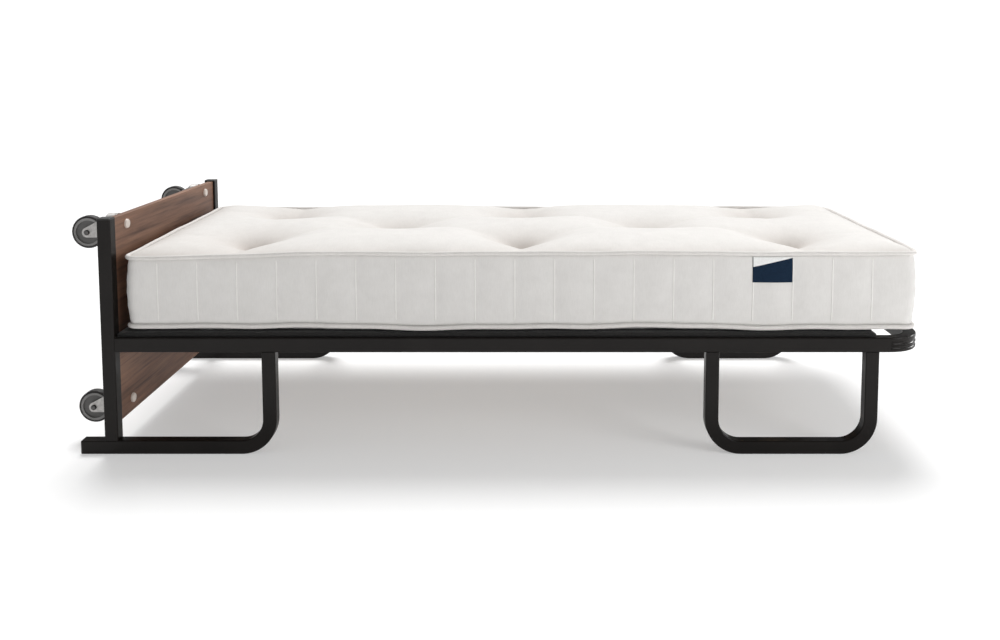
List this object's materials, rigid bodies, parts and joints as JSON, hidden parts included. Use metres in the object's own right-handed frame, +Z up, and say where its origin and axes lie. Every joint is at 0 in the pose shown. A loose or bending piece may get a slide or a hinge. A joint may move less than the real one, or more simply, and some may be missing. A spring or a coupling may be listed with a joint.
{
  "type": "rollaway bed",
  "caption": "Single guest bed with a tufted mattress on a rigid tube frame with skid legs; castors behind the head board let it be tipped up on end, rolled and stored standing.",
  "frame": {"origin": "on the floor, under the middle of the object's box", "axes": "+X along the bed from the head board to the foot end, +Z up, +Y to the side away from the label; the castors are at -X"},
  "size_m": [2.061, 0.78, 0.57],
  "materials": {
    "powder_coat": "satin black powder coat",
    "black_plastic": "moulded black",
    "walnut": "walnut-effect laminate, satin",
    "slat_wood": "pressed beech ply",
    "zinc": "bright zinc plate",
    "dark_steel": "dark plated",
    "ivory_plastic": "ivory, semi-gloss",
    "grey_plastic": "moulded mid grey",
    "tyre": "matt black rubber",
    "felt": "black needle felt",
    "cover_fabric": "off-white woven ticking",
    "filling": "springs in felt and foam",
    "piping": "off-white piping",
    "tuft_wool": "off-white felt washer",
    "label_fabric": "navy woven label"
  },
  "bodies": {
    "bed_frame": {"side_rail_left": "powder_coat", "side_rail_right": "powder_coat", "foot_rail": "powder_coat", "head_post_left": "powder_coat", "head_post_right": "powder_coat", "head_skid_leg_left": "powder_coat", "head_skid_leg_right": "powder_coat", "foot_leg_loop_left": "powder_coat", "foot_leg_loop_right": "powder_coat", "head_cross_rail": "powder_coat", "cross_rail_head_leg": "powder_coat", "cross_rail_middle": "powder_coat", "cross_rail_foot_leg": "powder_coat", "post_caps": "black_plastic", "runner_end_plugs": "black_plastic", "slat_holders": "black_plastic", "head_board": "walnut", "board_dowels": "zinc", "castor_top_races": "zinc", "castor_king_bolts": "zinc", "castor_nuts": "zinc", "castor_bolt_caps": "ivory_plastic", "slat_01": "slat_wood", "slat_02": "slat_wood", "slat_03": "slat_wood", "slat_04": "slat_wood", "slat_05": "slat_wood", "slat_06": "slat_wood", "slat_07": "slat_wood", "slat_08": "slat_wood", "slat_09": "slat_wood", "slat_10": "slat_wood", "slat_11": "slat_wood", "slat_12": "slat_wood", "deck_felt_pad": "felt", "mattress_bottom_panel": "cover_fabric", "mattress_border": "cover_fabric", "mattress_top_panel": "cover_fabric", "mattress_core": "filling", "mattress_piping_top": "piping", "mattress_piping_bottom": "piping", "mattress_tufts": "tuft_wool", "mattress_label": "label_fabric"},
    "castor_swivel_upper_left": {"castor_fork_upper_left": "zinc", "castor_axle_upper_left": "dark_steel"},
    "castor_wheel_upper_left": {"castor_hub_upper_left": "grey_plastic", "castor_tyre_upper_left": "tyre"},
    "castor_swivel_upper_right": {"castor_fork_upper_right": "zinc", "castor_axle_upper_right": "dark_steel"},
    "castor_wheel_upper_right": {"castor_hub_upper_right": "grey_plastic", "castor_tyre_upper_right": "tyre"},
    "castor_swivel_lower_left": {"castor_fork_lower_left": "zinc", "castor_axle_lower_left": "dark_steel"},
    "castor_wheel_lower_left": {"castor_hub_lower_left": "grey_plastic", "castor_tyre_lower_left": "tyre"},
    "castor_swivel_lower_right": {"castor_fork_lower_right": "zinc", "castor_axle_lower_right": "dark_steel"},
    "castor_wheel_lower_right": {"castor_hub_lower_right": "grey_plastic", "castor_tyre_lower_right": "tyre"}
  },
  "joints": [
    {"name": "castor_swivel_upper_left", "type": "hinge", "parent": "bed_frame", "child": "castor_swivel_upper_left", "pos_m": [-0.9425, -0.285, 0.541], "axis": [1, 0, 0], "continuous": true},
    {"name": "castor_spin_upper_left", "type": "hinge", "parent": "castor_swivel_upper_left", "child": "castor_wheel_upper_left", "pos_m": [-0.9905, -0.285, 0.521], "axis": [0, 1, 0], "continuous": true},
    {"name": "castor_swivel_upper_right", "type": "hinge", "parent": "bed_frame", "child": "castor_swivel_upper_right", "pos_m": [-0.9425, 0.285, 0.541], "axis": [1, 0, 0], "continuous": true},
    {"name": "castor_spin_upper_right", "type": "hinge", "parent": "castor_swivel_upper_right", "child": "castor_wheel_upper_right", "pos_m": [-0.9905, 0.285, 0.521], "axis": [0, 1, 0], "continuous": true},
    {"name": "castor_swivel_lower_left", "type": "hinge", "parent": "bed_frame", "child": "castor_swivel_lower_left", "pos_m": [-0.9425, -0.285, 0.103], "axis": [1, 0, 0], "continuous": true},
    {"name": "castor_spin_lower_left", "type": "hinge", "parent": "castor_swivel_lower_left", "child": "castor_wheel_lower_left", "pos_m": [-0.9905, -0.285, 0.083], "axis": [0, 1, 0], "continuous": true},
    {"name": "castor_swivel_lower_right", "type": "hinge", "parent": "bed_frame", "child": "castor_swivel_lower_right", "pos_m": [-0.9425, 0.285, 0.103], "axis": [1, 0, 0], "continuous": true},
    {"name": "castor_spin_lower_right", "type": "hinge", "parent": "castor_swivel_lower_right", "child": "castor_wheel_lower_right", "pos_m": [-0.9905, 0.285, 0.083], "axis": [0, 1, 0], "continuous": true}
  ]
}
